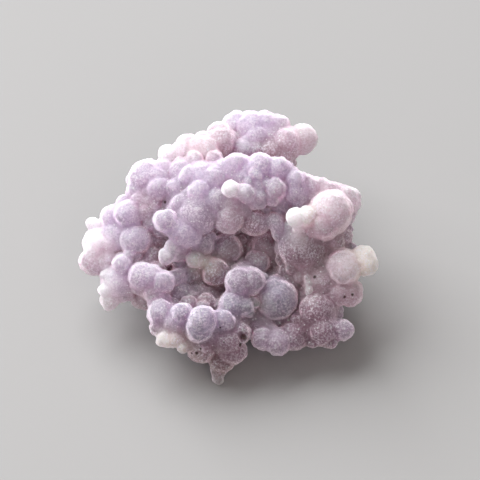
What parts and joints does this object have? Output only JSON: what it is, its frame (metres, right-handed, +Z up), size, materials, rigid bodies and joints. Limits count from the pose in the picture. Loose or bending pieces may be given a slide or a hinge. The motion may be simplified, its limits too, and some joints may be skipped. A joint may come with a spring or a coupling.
{
  "type": "botryoidal chalcedony specimen",
  "caption": "Hand specimen of translucent lilac chalcedony, a cluster of small fused balls grown on rock and cut off flat there, resting on the cut.",
  "frame": {"origin": "on the flat cut face the cluster rests on, under its middle", "axes": "+Z up from the cut face, +X to the right as the specimen is seen from its front, +Y away to its back ridge"},
  "size_m": [0.0447, 0.0409, 0.0243],
  "materials": {
    "chalcedony": "translucent lilac with a fine frosted skin"
  },
  "bodies": {
    "root": {"chalcedony": "chalcedony"}
  },
  "joints": []
}
